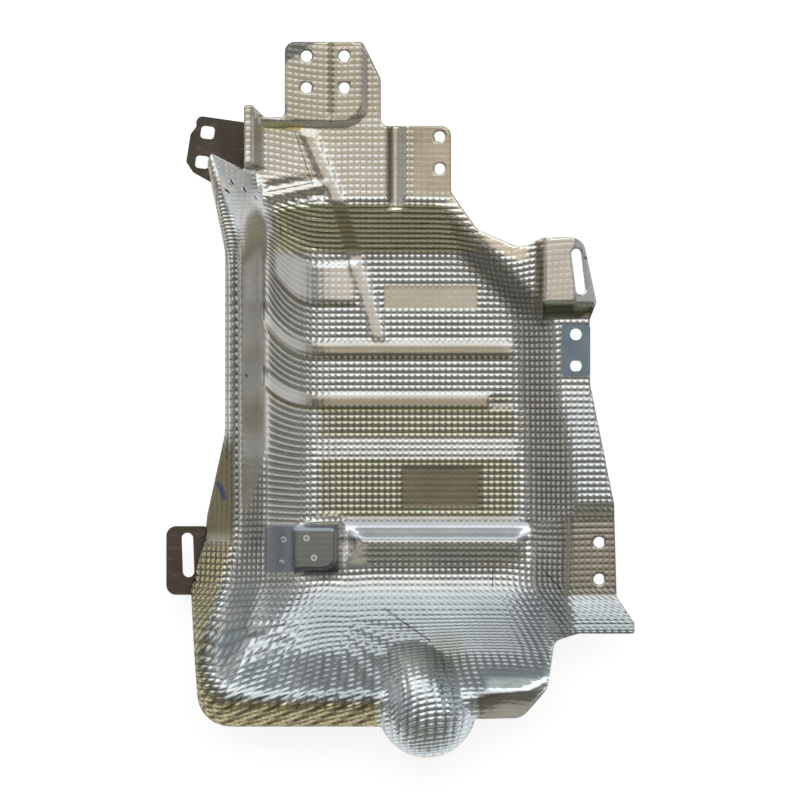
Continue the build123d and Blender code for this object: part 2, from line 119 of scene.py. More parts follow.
def fence(outline, x, y):
    """Distance to the nearest edge of a closed outline: positive outside and negative inside."""
    near = np.full(x.shape, 1e9)
    within = np.zeros(x.shape, bool)
    for (ax, ay), (bx, by) in zip(outline, np.roll(outline, -1, axis=0)):
        ex, ey = bx - ax, by - ay
        along = np.clip(((x - ax) * ex + (y - ay) * ey) / (ex * ex + ey * ey + 1e-9), 0, 1)
        near = np.minimum(near, np.hypot(x - ax - along * ex, y - ay - along * ey))
        if by != ay:
            within ^= ((ay > y) != (by > y)) & (x < ex * (y - ay) / ey + ax)
    return np.where(within, -near, near)


def rising_wall(distance, *bends):
    """Height of a wall at a distance outside its foot, straight between bends of reach and height.

    It falls by 0.55 of the distance inside its foot, and rises at 45 degrees past its last bend.
    """
    height = np.minimum(distance - bends[0][0], 0) * 0.55 + np.maximum(distance - bends[-1][0], 0)
    for (near, low), (far, high) in zip(bends, bends[1:]):
        height = height + (high - low) * np.clip((distance - near) / (far - near), 0, 1)
    return height


# Floor and walls of the tub. The left wall leans further out towards the bottom corner: each of its
# bends has a reach, its lean, the y where that begins, the length that it grows over, and a height.
FLOOR_LEFT, FLOOR_RIGHT, FLOOR_TOP, FLOOR_BOTTOM = -65.6, 92.0, 118.4, -148.0
TUB_TOP, OPEN_HEIGHT = 150, 300
left_bends = (
    (0, 4, -118, 30, 0), (20, 8, -140, 32, 12), (44, 18, -140, 63, 30), (62, 29, -110, 129, 65),
    (80, 29, -110, 165, 100),
)
left_wall = rising_wall(FLOOR_LEFT - plan_x, *[
    (reach + lean * np.clip((knee - plan_y) / length, 0, 1.2), height)
    for reach, lean, knee, length, height in left_bends
])
bottom_wall = rising_wall(FLOOR_BOTTOM - plan_y, (0, 0), (24, 12), (55, 30), (91, 65), (127, 100))
right_wall = (plan_x - FLOOR_RIGHT - 16 * np.clip((77 - plan_y) / 225, 0, 1.2)) / 0.8
corner_wall = (plan_x + plan_y - 166) / 0.66
corner_round = np.clip(np.maximum(right_wall, bottom_wall), 0, 65)
walls = higher(right_wall, bottom_wall, 45 + 1.1 * corner_round)
corner_round = np.clip(np.maximum(left_wall, bottom_wall), 0, 65)
walls = higher(walls, left_wall, 16 + 0.5 * corner_round)
walls = higher(walls, corner_wall, 16)
tub = SHEET + higher(np.zeros_like(walls), walls, 11)

# Rim along the left and the bottom, whose lip falls away outside, and the flat flank of its wing.
# Away from its own place a form has the height NOWHERE, below all the others. Past TUB_TOP the tub
# has OPEN_HEIGHT, above all the others, so that it takes nothing off them there.
RIM_HEIGHT, BOTTOM_RIM_HEIGHT = 66, 60
NOWHERE = -5
rim_crest = rounded_outline(
    (-156, 204, 2), (-133, 128, 40), (-131, -110, 60), (-160, -205, 25), (-148, -240, 22),
    (60, -240, 20), (78, -229, 34), (116, -229, 14), (116, 204, 2),
)
rim_top = np.interp(plan_y, (-240, -170), (BOTTOM_RIM_HEIGHT, RIM_HEIGHT))
crest_gap = fence(rim_crest, plan_x, plan_y)
crest_blend = 4 + 9 * ease(plan_x, 52, 76) * ease(-plan_y, 205, 220)
rim = lower(rim_top, RIM_HEIGHT - 1.19 * crest_gap, crest_blend)
flank = RIM_HEIGHT - 0.9424 * (plan_x + 150.4) - 0.2982 * (plan_y - 195.2)
rim = np.where(plan_y > 128, np.minimum(rim, flank), rim)
rim = np.where((plan_x > 60) & (plan_y > -188), NOWHERE, rim)
tub_or_open = np.where(plan_y < TUB_TOP, tub, OPEN_HEIGHT)
rim = lower(rim, tub_or_open, 3.5)

# Right flanges, stepped along y, and the top flange with its slope down to the floor
right_flange = np.interp(
    plan_y, (-200, -176, -157, -92, -82, -40, 12, 280), (48, 48, 41, 41, 48, 46, 38, 38)
)
right_flange = np.where((plan_x > 30) & (plan_y > -200), right_flange, NOWHERE)
right_flange = lower(right_flange, tub_or_open, 4)
top_flange = np.interp(plan_y, (FLOOR_TOP, 156), (SHEET, 38))
top_flange = np.where((plan_x > -134) & (plan_x < 60), top_flange, NOWHERE)
form = np.maximum.reduce([rim, right_flange, top_flange, np.full_like(tub, SHEET)])
form = blur(form, 2.2)

# Under the wing the form is softer, and the channel beside the second tab is pressed 5 mm deep
under_wing = inside(plan_x, -140, -98, 12) * inside(plan_y, 116, 172, 20)
form = form + under_wing * (blur(form, 7) - form)
channel = np.clip(np.minimum((plan_x + 10.4) / 4, (5.6 - plan_x) / 7), 0, 1) * ease(plan_y, 148, 158)
form = form - 5 * channel

# Raised block of the slotted tab, the strip that stands up at the left, the pad of the mounting tab
slot_tab = 50 - np.maximum(78 - plan_y, 0) - 2.5 * np.maximum(115 - plan_x, 0)
slot_tab = np.where((plan_x > 103) & (plan_y > 60), slot_tab, NOWHERE)
slot_tab = slot_tab - 0.5 * np.maximum(plan_x - 139, 0)
strip = 50 - np.maximum(plan_x + 117.9, 0) / 0.7
strip = np.where((plan_y > 186) & (plan_x < -100), strip, NOWHERE)
tab_pad = rounded_outline((-200, 222, 1), (-29.6, 222, 16), (-29.6, 360, 1), (-200, 360, 1))
tab_pad = 42 - np.maximum(fence(tab_pad, plan_x, plan_y), 0) * 1.4
tab_pad = np.maximum(tab_pad - 1.2 * inside(plan_x, -57, -53, 2) * ease(plan_y, 222, 228), 37)
tab_pad = np.where((plan_y > 210) & (plan_x < -12), tab_pad, NOWHERE)
form = np.maximum.reduce([form, slot_tab, strip, tab_pad])

# Cross rib, the small pad beside it and the round bulge in the bottom rim
rib_rise = lower(SHEET + (-98 - plan_y) * 0.86, SHEET + (plan_y + 135) * 0.62, 5)
rib_rise = lower(rib_rise, np.minimum(plan_x + 45, 108 - plan_x) * 0.9 + SHEET, 4)
pad_edge = rounded_outline((-106, -136, 4), (-52, -136, 9), (-52, -103, 3), (-106, -103, 4))
pad_rise = 13 - np.maximum(fence(pad_edge, plan_x, plan_y), 0) * 1.2
BULGE_X, BULGE_Y, BULGE_RADIUS, BULGE_HEIGHT = 21.6, -247, 39, 72
bulge_y = plan_y - BULGE_Y
bulge_x = plan_x - BULGE_X + 0.24 * np.maximum(bulge_y, 0)
bulge_r = np.hypot(bulge_x, np.where(bulge_y > 0, 0.70 * bulge_y, bulge_y))
bulge_foot = np.interp(plan_y, (-225, -190), (41, 18))
bulge_fall = np.interp(plan_y, (BULGE_Y, -215), (0.5, 0.85))
bulge_rise = np.clip(1 - (np.maximum(bulge_r - 3, 0) / 34.5) ** 2, 0, 1) ** bulge_fall
bulge_rise = bulge_foot + (BULGE_HEIGHT - bulge_foot) * bulge_rise
bulge_rise = bulge_rise - 5 * np.maximum(bulge_r - BULGE_RADIUS + 2, 0)
form = higher(form, rib_rise, 6)
form = higher(form, pad_rise, 5)
form = higher(form, bulge_rise, np.interp(plan_y, (-235, -205), (4, 12)))

# How far the rows of dimples were dragged up the left wall when it was drawn
drag = 0.0166 * np.clip(FLOOR_LEFT - plan_x, 0, 46) ** 2
drag = drag * np.interp(
    plan_y, (-150, -60, -10, 19, 71, 92, 112, 155, 180), (0, 0.12, 0.42, 0.63, 0.95, 1.15, 1.1, 0.3, 0)
)
drag = drag + 0.27 * np.clip(plan_x + 70, -70, 125) * ease(-plan_y, 168, 215)
row_y = plan_y - drag

# Raised beads and low steps that follow the dragged rows, and folds above the left wall
bead_1 = inside(row_y, 35.2, 46.2, 1.8) * inside(plan_x, -110, 90, 4)
bead_2 = inside(row_y, -5.8, 4.8, 1.8) * inside(plan_x, -110, 72, 2.5)
bead_0 = inside(row_y, 78, 110, 3) * inside(plan_x, -101, -36, 8)
swell = np.interp(row_y, (-91, -47, -30, -6), (0, 3.2, 0, 1.2)) * (row_y < -6)
swell = swell * inside(plan_x, -68, 95, 10)
form = form + 1.7 * bead_1 + 1.9 * bead_2 + 1.6 * bead_0 * (plan_y < 118) + swell
folds = np.sin((plan_y - 0.2 * plan_x) / 15 * 2 * np.pi) * inside(plan_x, -106, -60, 10)
form = form + 1.6 * folds * inside(plan_y, 146, 176, 12)
band_x = np.interp(plan_y, (46, 80, 120, 160, 216), (-16, -25.6, -38, -50, -74.5))
band = inside(plan_x - band_x, -6, 6, 2.4) * inside(plan_y, 48, 214, 4)
form = form + 1.8 * band
second_bulge = np.hypot((plan_x - 93) / 24, (plan_y + 240) / 17)
form = form + 3 * ease(-second_bulge, -1, -0.3)


def slanting(x, y):
    """Waves of height 1, 9.5 mm long, that run down across the bottom lip from left to right."""
    return np.sin((0.85 * y - 0.53 * x) / 9.5 * 2 * np.pi) * ease(-y, 228, 238) * ease(-x, 14, 24)


# Wrinkles: 23 rays round the foot of the small pad, the slanting waves of the bottom lip, and the
# raised hem of the foot at the lower right
ray_x, ray_y = plan_x + 64, plan_y + 172
ray = np.sin(23 * np.arctan2(ray_y, ray_x)) * ease(-ray_y, -4, 14)
ray = ray * inside(np.hypot(ray_x, ray_y), 22, 78, 24)
hem = inside(plan_x, 120, 188, 4) * inside(plan_y, -186.5, -181.5, 3)
form = form + 1.1 * ray + 0.6 * slanting(plan_x, plan_y) + 1.4 * hem
form = blur(form, 1.1)

# How tall the dimples are. They are pressed nearly flat on beads, tabs and pads, on the rim strip of
# the concave edge and on the wing's flank. Drawing the walls has pulled their columns out of sight.
on_flank = ease(plan_y, 126, 140) * ease(-crest_gap, 1, 3)
on_flank = on_flank * ease(-plan_x - 0.3 * (plan_y - 172), 110, 116)
edge_y = np.interp(plan_x, (40.8, 62, 96, 114), (166, 136, 121.5, 129.6))
edge_strip = ease(plan_x + plan_y, 190, 194) * ease(plan_y - edge_y, -13, -9)
edge_strip = edge_strip * inside(plan_x, 38, 103, 4)
strip_side = np.interp(plan_y, (-95, -35), (-123, -105))
flattened = np.maximum.reduce([
    0.9 * bead_1, 0.9 * bead_2, 0.85 * bead_0, 0.9 * band, 0.95 * on_flank, 0.9 * edge_strip, channel,
    0.97 * inside(plan_x, -13, 63, 2) * inside(plan_y, 72, 92, 2),
    0.97 * inside(plan_x, 1, 65, 2) * inside(plan_y, -87, -53, 2),
    0.76 * ease(plan_y, 222, 226),
    0.77 * ease(plan_y, 158, 166) * ease(-plan_x, -12, -4),
    0.95 * ease(plan_y, 158, 166) * ease(plan_x, 4, 12),
    0.7 * inside(plan_x, 130, 180, 6) * inside(plan_y, -157, -92, 3),
    0.9 * inside(plan_x, 114, 160, 2) * inside(plan_y, 66, 140, 2),
    0.97 * inside(plan_x, -108, -48, 2) * inside(plan_y, -139, -99, 2),
    0.95 * inside(plan_x, -127, strip_side, 4) * inside(row_y, -90, 150, 20),
    0.9 * inside(plan_x, -46, 106, 4) * inside(plan_y, -113, -97, 3),
    0.9 * inside(plan_x, -46, -26, 8) * inside(plan_y, -136, -112, 3),
    0.85 * inside(plan_x, 64, 122, 8) * ease(-plan_y, 206, 216),
    0.8 * inside(plan_x, -170, -134, 3) * inside(plan_y, -112, -44, 10),
    0.4 * ease(-plan_y, 140, 152),
])
on_lip = ease(crest_gap, -2, 3) * ease(-plan_y, 108, 124) * ease(-plan_x, -54, -44)
on_lip = on_lip * (1 - 0.6 * ease(-plan_y, 226, 236))
on_slope = inside(plan_x, -100, 62, 6) * inside(plan_y, 119, 155, 4)
relief_of = blur(1 - flattened + 0.9 * on_lip + 0.5 * on_slope, 1.0)
up_the_wall = ease(plan_x, -110, -104) * ease(-plan_x, 60, 88)
up_the_wall = up_the_wall * ease(plan_y, -120, -90) * ease(-plan_y, -156, -130)
pulled = np.maximum.reduce([
    0.8 * up_the_wall, 0.7 * inside(plan_y, 120, 156, 6), 0.5 * inside(plan_y, -113, -97, 4),
])
columns_of = blur(1 - pulled, 1.0)

# The blank: rows and columns of dimples are evenly spaced along the sheet, not across the plan.
# Below the rib the columns spread from FAN_COLUMN, by half as much again at the bottom rim.
soft_form = blur(form, 7)
slope_y, slope_x = np.gradient(soft_form, RASTER)
middle_column = len(raster_x) // 2
middle_row = len(raster_y) // 2
column = np.cumsum(np.sqrt(1 + 0.5 * slope_x ** 2), axis=1) * RASTER
column = (column - column[:, middle_column:middle_column + 1]) / DIMPLE_X
row = np.cumsum(np.sqrt(1 + 0.6 * slope_y ** 2), axis=0) * RASTER
row = (row - row[middle_row:middle_row + 1, :] - drag) / DIMPLE_Y
FAN_COLUMN = -20 / DIMPLE_X
column = FAN_COLUMN + (column - FAN_COLUMN) / (1 + np.clip(-150 - plan_y, 0, 90) / 170)
column = blur(column, 3)
row = blur(row, 3)

# Fine grid over the blank, COLUMNS and ROWS of dimples each way from its middle. Each of its points is
# moved step by step to the place in plan where the sheet has its column and row.
COLUMNS, ROWS = 44, 70
fine_i = np.arange(-COLUMNS * SAMPLES, COLUMNS * SAMPLES + 1)
fine_j = np.arange(-ROWS * SAMPLES, ROWS * SAMPLES + 1)
blank_s, blank_t = np.meshgrid((fine_i - 1) / SAMPLES, (fine_j - 1) / SAMPLES)
x = blank_s * DIMPLE_X * 0.85
y = blank_t * DIMPLE_Y * 0.85
for _ in range(60):
    x = x + 0.7 * DIMPLE_X * (blank_s - look_up(column, x, y))
    y = y + 0.7 * DIMPLE_Y * (blank_t - look_up(row, x, y))
    x, y = np.clip(x, -199, 199), np.clip(y, -299, 299)

# Trimmed edge, and the holes that are punched in it
trimmed_edge = rounded_outline(
    (-92, 286, 8), (-29.6, 286, 4), (-15.2, 256, 4), (-15.2, 219, 5), (40.8, 219, 8), (40.8, 166, 6),
    (62, 136, 12), (96, 121.5, 14), (114, 129.6, 4), (146, 129.6, 12), (157, 78, 4), (151.5, 64, 4),
    (152, 12, 10), (171, -84, 30), (173, -157, 4), (187, -178, 3), (187, -186.4, 1.5), (142, -186.4, 6),
    (123, -192.4, 8), (117.5, -230, 14), (97, -254.4, 14), (21.6, -254.4, 1), (21.6, -260.8, 1),
    (-160, -260.8, 26), (-167, -152, 10), (-156, -112, 20), (-154, -92, 20), (-139.2, -26, 40),
    (-139.2, 118, 60), (-153.5, 188.5, 10), (-150.5, 196.5, 1), (-124.4, 183.5, 1), (-124.4, 235.2, 2),
    (-117.9, 235.2, 2), (-108, 225.6, 6), (-92, 225.6, 4),
)
edge_raster = fence(trimmed_edge, plan_x, plan_y)
round_holes = [(-59.6 + dx, 261.8 + dy, 4.5) for dx in (-15.1, 15.1) for dy in (-12.7, 12.7)]
round_holes += [(31.6, 197.4 + dy, 4.5) for dy in (-12.8, 12.8)]
round_holes += [(159.0, -128.4 + dy, 4.5) for dy in (-14.7, 14.7)]
round_holes += [(140.5, 39.8 + dy, 4.7) for dy in (-12.6, 12.6)]
SLOT_X, SLOT_Y, SLOT_TURN, SLOT_HALF, SLOT_R = 142.4, 102.4, np.radians(97), 14.4, 4.0


def trim(px, py):
    """Distance outside the sheet in plan: past the trimmed edge and the bulge's circle, or in a hole."""
    away = np.minimum(look_up(edge_raster, px, py), np.hypot(px - BULGE_X, py - BULGE_Y) - BULGE_RADIUS)
    for hx, hy, r in round_holes:
        away = np.maximum(away, r - np.hypot(px - hx, py - hy))
    along = (px - SLOT_X) * np.cos(SLOT_TURN) + (py - SLOT_Y) * np.sin(SLOT_TURN)
    aside = (py - SLOT_Y) * np.cos(SLOT_TURN) - (px - SLOT_X) * np.sin(SLOT_TURN)
    beyond = np.maximum(np.abs(along) - SLOT_HALF, 0)
    return np.maximum(away, SLOT_R - np.hypot(beyond, aside))


# Cells of the fine grid whose middle is on the sheet are kept, and their outer corners move to its edge
cell_x = (x[1:, 1:] + x[:-1, :-1] + x[1:, :-1] + x[:-1, 1:]) / 4
cell_y = (y[1:, 1:] + y[:-1, :-1] + y[1:, :-1] + y[:-1, 1:]) / 4
kept = trim(cell_x, cell_y) < 0
touching = np.zeros(x.shape, int)
for dj, di in ((0, 0), (0, 1), (1, 0), (1, 1)):
    touching[dj:dj + kept.shape[0], di:di + kept.shape[1]] += kept
on_edge = (touching > 0) & (touching < 4)
edge_x, edge_y = x[on_edge], y[on_edge]
STEP = 0.05
for _ in range(4):
    away = trim(edge_x, edge_y)
    dx = (trim(edge_x + STEP, edge_y) - away) / STEP
    dy = (trim(edge_x, edge_y + STEP) - away) / STEP
    steepness = np.maximum(dx * dx + dy * dy, 0.3)
    edge_x, edge_y = edge_x - away * dx / steepness, edge_y - away * dy / steepness
x[on_edge], y[on_edge] = edge_x, edge_y

# Upper face: the pressed form with the dimples. Lower face: the form less the sheet's thickness
form_height = look_up(form, x, y)
form_slope_y, form_slope_x = np.gradient(form, RASTER)
lean_x, lean_y = look_up(form_slope_x, x, y), look_up(form_slope_y, x, y)
upright = 1 / np.sqrt(1 + lean_x ** 2 + lean_y ** 2)
relief = look_up(relief_of, x, y)
parted = look_up(columns_of, x, y)
wave = 1 - parted + parted * (0.5 + 0.5 * np.cos(2 * np.pi * blank_s)) ** 0.7
wave = wave * (0.5 + 0.5 * np.cos(2 * np.pi * blank_t))
uneven = np.random.default_rng(4).uniform(0.78, 1.12, (2 * ROWS + 1, 2 * COLUMNS + 1))
uneven = uneven[np.rint(blank_t).astype(int) + ROWS, np.rint(blank_s).astype(int) + COLUMNS]
lift = DIMPLE_RISE * uneven * (wave - 0.1) * relief * ease(-trim(x, y), 0, 2.5)
normal = np.stack([-lean_x * upright, -lean_y * upright, upright], axis=-1)
face = np.stack([x, y, form_height], axis=-1)
upper_face = face + normal * lift[..., None]
lower_face = face - normal * SHEET

# Faces by point number: the upper face's points come first, then the lower face's, then the centres.
# The lower face keeps single cells only where a dimple is cut by the edge.
number = np.arange(x.size).reshape(x.shape)
j, i = np.nonzero(kept)
quads = np.stack([number[j, i], number[j, i + 1], number[j + 1, i + 1], number[j + 1, i]], axis=1)
blocks = kept.reshape(kept.shape[0] // SAMPLES, SAMPLES, kept.shape[1] // SAMPLES, SAMPLES)
whole = blocks.all(axis=(1, 3))
fine = blocks.any(axis=(1, 3)) & ~whole
in_fine = np.repeat(np.repeat(fine, SAMPLES, axis=0), SAMPLES, axis=1)
j, i = np.nonzero(kept & in_fine)
under_quads = np.stack([number[j, i], number[j + 1, i], number[j + 1, i + 1], number[j, i + 1]], axis=1)

# Each whole dimple of the lower face is a fan of triangles round its middle. A side that meets single
# cells keeps their corners, and the other sides run straight from corner to corner.
b, a = np.nonzero(whole)
ring_j = np.array([0, 0, 0, 0, 1, 2, 3, 3, 3, 3, 2, 1])
ring_i = np.array([0, 1, 2, 3, 3, 3, 3, 2, 1, 0, 0, 0])
fine_round = np.pad(fine, 1)
below, right_of = fine_round[b, a + 1], fine_round[b + 1, a + 2]
above, left_of = fine_round[b + 2, a + 1], fine_round[b + 1, a]
always = np.ones(len(b), bool)
used = np.stack([
    always, below, below, always, right_of, right_of, always, above, above, always, left_of, left_of,
], axis=1)
ring = number[b[:, None] * SAMPLES + ring_j, a[:, None] * SAMPLES + ring_i]
flat_ring = ring[used]
counts = used.sum(axis=1)
ends = np.cumsum(counts)
following = np.roll(flat_ring, -1)
following[ends - 1] = flat_ring[ends - counts]
centre_number = x.size + np.arange(len(b))
fans = np.stack([following, flat_ring, np.repeat(centre_number, counts)], axis=1)
middle = b * SAMPLES + 1, a * SAMPLES + 1
CENTRE_RISE = 0.35
centres = lower_face[middle] + CENTRE_RISE * normal[middle] * relief[middle][:, None]

# Cut edge: a quad for each side of a kept cell that has no kept neighbour
wide = np.pad(kept, 1)
walls_of_edge = []
for dj, di, first, second in (
    (-1, 0, (0, 0), (0, 1)), (1, 0, (1, 1), (1, 0)), (0, -1, (1, 0), (0, 0)), (0, 1, (0, 1), (1, 1)),
):
    open_side = kept & ~wide[1 + dj:wide.shape[0] - 1 + dj, 1 + di:wide.shape[1] - 1 + di]
    j, i = np.nonzero(open_side)
    begin, end = number[j + first[0], i + first[1]], number[j + second[0], i + second[1]]
    walls_of_edge.append(np.stack([end, begin, begin + x.size, end + x.size], axis=1))
cut_edge = np.concatenate(walls_of_edge)

points = np.concatenate([upper_face.reshape(-1, 3), lower_face.reshape(-1, 3), centres]) * MM
four_sided = np.concatenate([quads, under_quads + x.size, cut_edge])
corner_numbers = np.concatenate([four_sided.ravel(), (fans + x.size).ravel()])
used_points, renumbered = np.unique(corner_numbers, return_inverse=True)
face_sizes = np.repeat([4, 3], [len(four_sided), len(fans)])


def mesh_piece(name, positions, loops, sizes, smooth_faces):
    """Mesh object from points, the point numbers of all faces in one row, and each face's count."""
    mesh = bpy.data.meshes.new(name)
    mesh.vertices.add(len(positions))
    mesh.vertices.foreach_set("co", np.asarray(positions, np.float32).ravel())
    mesh.loops.add(len(loops))
    mesh.loops.foreach_set("vertex_index", np.asarray(loops, np.int32))
    mesh.polygons.add(len(sizes))
    starts = np.concatenate([[0], np.cumsum(sizes)[:-1]])
    mesh.polygons.foreach_set("loop_start", starts.astype(np.int32))
    mesh.polygons.foreach_set("use_smooth", np.asarray(smooth_faces, bool))
    mesh.update(calc_edges=True)
    piece = bpy.data.objects.new(name, mesh)
    bpy.context.scene.collection.objects.link(piece)
    return piece


smooth_faces = np.ones(len(face_sizes), bool)
smooth_faces[len(quads) + len(under_quads):len(four_sided)] = False
panel = mesh_piece("pressed_sheet", points[used_points], renumbered, face_sizes, smooth_faces)


def point_values(name, values):
    """Vector attribute on the panel's points: values of the grid for both faces, then of the centres."""
    layer = panel.data.attributes.new(name, "FLOAT_VECTOR", "POINT")
    grid = values.reshape(-1, 3)
    every = np.concatenate([grid, grid, values[middle]])[used_points]
    layer.data.foreach_set("vector", every.astype(np.float32).ravel())


point_values("blank", np.stack([blank_s, blank_t, np.zeros_like(x)], axis=-1))
point_values("relief", np.stack([parted, relief, np.zeros_like(x)], axis=-1))

# Tone of the metal, mostly painted reflection and shade: the drawn lip and the steep slopes get a
# painted olive gold reflection, the clinched pads are dull grey, the deep wall below the rib gets a
# colder painted silver, painted highlights lighten the faces turned to the lamps, and painted shade
# makes dark lines along the crest, the feet of the beads, the groove of the tab and the side of the
# channel.
beyond_crest = fence(rim_crest, x, y)
from_bulge = np.hypot(x - BULGE_X, y - BULGE_Y)
lip = ease(beyond_crest, -1, 3) * ease(-x, -62, -54) * ease(from_bulge, 37, 42)
row_at = look_up(row_y, x, y)
on_beads = inside(row_at, 35.6, 46, 1.4) + inside(row_at, -5.4, 4.6, 1.4)
crest_shade_line = inside(beyond_crest, -3.2, -0.4, 1.6)
BRIGHTEST = 1.4
painted_light_tone = np.ones(x.shape + (3,))
for share, tint in (
    # Painted reflections on the lip, painted shade in its slanting streaks, and a painted shade line
    # along the crest
    (lip * inside(y, -114, -30, 26), (0.22, 0.20, 0.125)),
    (lip * ease(-y, 104, 124), (1.02, 0.895, 0.55)),
    (lip * ease(-y, 226, 236), (1.22, 1.24, 1.34)),
    (lip * ease(-slanting(x, y), 0.1, 0.8), (0.40, 0.40, 0.40)),
    (lip * ease(y, -20, 20), (0.90, 0.88, 0.82)),
    (crest_shade_line * ease(-x, 100, 110) * ease(-y, -190, -150), (0.42, 0.42, 0.38)),
    (lip * ease(-y, 232, 240) * ease(-x, -60, -20), (0.92, 0.86, 0.76)),
    # Painted reflections on the slope at the top end, painted shade on the band across it, and a painted
    # reflection on the strip along the concave edge
    (inside(x, -100, 62, 6) * inside(y, 119, 157, 6) * ease(192 - x - y, 0, 4), (1.30, 1.30, 1.0)),
    (look_up(band, x, y) * inside(y, 119, 157, 6), (0.50, 0.45, 0.42)),
    (look_up(edge_strip, x, y), (1.06, 1.0, 0.88)),
    # The clinched pads, and painted darker reflections on the two bare fields and the duller, olive rows
    # of the floor
    (inside(x, -108, -49, 3) * inside(y, -139, -100, 3), (0.31, 0.35, 0.385)),
    (inside(x, 0, 66, 4) * inside(y, -88, -53, 4), (0.54, 0.54, 0.53)),
    (inside(x, -14, 64, 2) * inside(y, 71, 93, 2), (0.84, 0.82, 0.76)),
    (inside(x, -64, 92, 4) * (inside(y, -30, -6, 4) + inside(y, -96, -47, 4)), (0.81, 0.79, 0.63)),
    # The rib's two faces and its ridge: painted highlights on the face towards the bottom rim and along
    # the ridge, painted shade on the face towards the floor
    (inside(x, -44, 105, 6) * inside(y, -132, -114, 4), (1.9, 1.82, 1.74)),
    (inside(x, -46, 108, 8) * inside(y, -115, -95, 4), (0.52, 0.54, 0.56)),
    (inside(x, -44, 106, 6) * inside(y, -110, -101.5, 3), (2.1, 2.1, 2.1)),
    # Painted reflection and shade: the deep wall below the rib colder and darker, a painted highlight on
    # the round bulge, and painted shade and a painted highlight by the smaller one beside it
    (ease(-y, 136, 165), (0.78, 0.84, 0.88)),
    (ease(-y, 140, 165) * ease(x, -110, -60) * ease(117 - x, 0, 4) * (1 - lip), (0.76, 0.77, 0.78)),
    (ease(-from_bulge, -42, -37) * ease(-y, 215, 245), (1.75, 1.80, 1.85)),
    (inside(x, 62, 116, 6) * ease(-y, 231, 238), (0.72, 0.64, 0.54)),
    (inside(x, 70, 116, 10) * inside(y, -231, -222, 5), (2.2, 2.3, 2.4)),
    (ease(-y, 150, 170) * ease(x, 44, 74) * ease(y, -216, -196), (0.84, 0.84, 0.84)),
    # Painted highlights on the foot of the left wall and the side of the small pad, and painted shade
    # and a painted highlight on the shoulders of the round bulge
    (inside(x, -156, -108, 12) * inside(y, -176, -100, 20) * (1 - lip), (1.5, 1.5, 1.5)),
    (inside(x, -156, -126, 6) * inside(y, -226, -168, 12) * (1 - lip), (1.5, 1.5, 1.5)),
    (inside(x, -84, -46, 3) * inside(y, -147, -139, 3), (1.6, 1.6, 1.6)),
    (ease(-np.hypot(x - 37, y + 203), -24, -5), (0.80, 0.77, 0.66)),
    (ease(-np.hypot(x - 3, y + 214), -26, -6), (1.5, 1.45, 1.36)),
    # Painted cool reflection on the wing's flank and painted highlights on the flat strip down the left
    # wall
    (look_up(on_flank, x, y), (1.28, 1.36, 1.44)),
    (inside(x, -127, -107, 6) * inside(y, -56, -30, 16), (1.2, 1.28, 1.36)),
    (inside(x, -127, -104, 5) * inside(y, -110, 150, 24), (1.35, 1.35, 1.33)),
    # Painted shade on the feet of the beads, on the beads themselves and on the side of the channel
    (inside(row_at, 32.4, 35.2, 1.6) * inside(x, -108, 88, 3), (0.50, 0.50, 0.34)),
    (inside(row_at, -8.6, -5.8, 1.6) * inside(x, -108, 72, 3), (0.50, 0.50, 0.34)),
    (inside(row_at, 75, 77.5, 1.6) * inside(x, -101, -36, 3), (0.50, 0.47, 0.36)),
    (on_beads * inside(x, -76, 88, 20), (0.68, 0.645, 0.56)),
    (inside(x, -10.8, -5.8, 1.6) * inside(y, 158, 219, 6), (0.42, 0.37, 0.30)),
    # Painted reflections on the mounting tabs, the slotted tab and the right flanges, an olive painted
    # glint on the step of the tab pad, and painted shade in the groove of the tab and on the steps of
    # the slotted tab
    (ease(y, 222, 228), (0.82, 0.78, 0.72)),
    (ease(0.67 * (x + 92) + 286 - y, 19, 15) * ease(y, 262, 266) * ease(-x, 60, 66), (0.36, 0.40, 0.45)),
    (inside(y, 216, 221, 3) * inside(x, -106, -76, 12), (1.05, 1.02, 0.62)),
    (inside(x, 139, 160, 3) * inside(y, 80, 130, 3), (0.84, 0.90, 0.96)),
    (ease(y, 160, 166) * ease(-y, -222, -216) * ease(-x, -8, -2), (0.92, 0.89, 0.83)),
    (ease(y, 160, 166) * ease(x, 5, 9) * ease(-x, -64, -60), (0.76, 0.71, 0.60)),
    (inside(x, -56.4, -53.4, 1.6) * inside(y, 222, 286, 3), (0.50, 0.46, 0.36)),
    (inside(x, 108, 115, 3) * inside(y, 68, 128, 8), (0.66, 0.60, 0.50)),
    (inside(x, 115, 160, 3) * inside(y, 78, 132, 3), (0.92, 0.90, 0.85)),
    (inside(x, 114, 160, 3) * inside(y, 65, 77, 3), (0.22, 0.22, 0.165)),
    (inside(x, 129, 180, 9) * inside(y, -157, -92, 3), (0.55, 0.53, 0.47)),
    (ease(x, 132, 138) * ease(-y, 160, 166), (0.98, 1.01, 1.02)),
    (inside(x, 132, 178, 4) * inside(y, -84, 4, 3), (0.92, 0.96, 0.99)),
    (inside(x, -100, -92, 3) * inside(y, -136, -103, 4), (0.85, 0.88, 0.90)),
):
    painted_light_tone *= 1 - share[..., None] * (1 - np.array(tint))
point_values("painted_light_tone", np.minimum(painted_light_tone, BRIGHTEST))


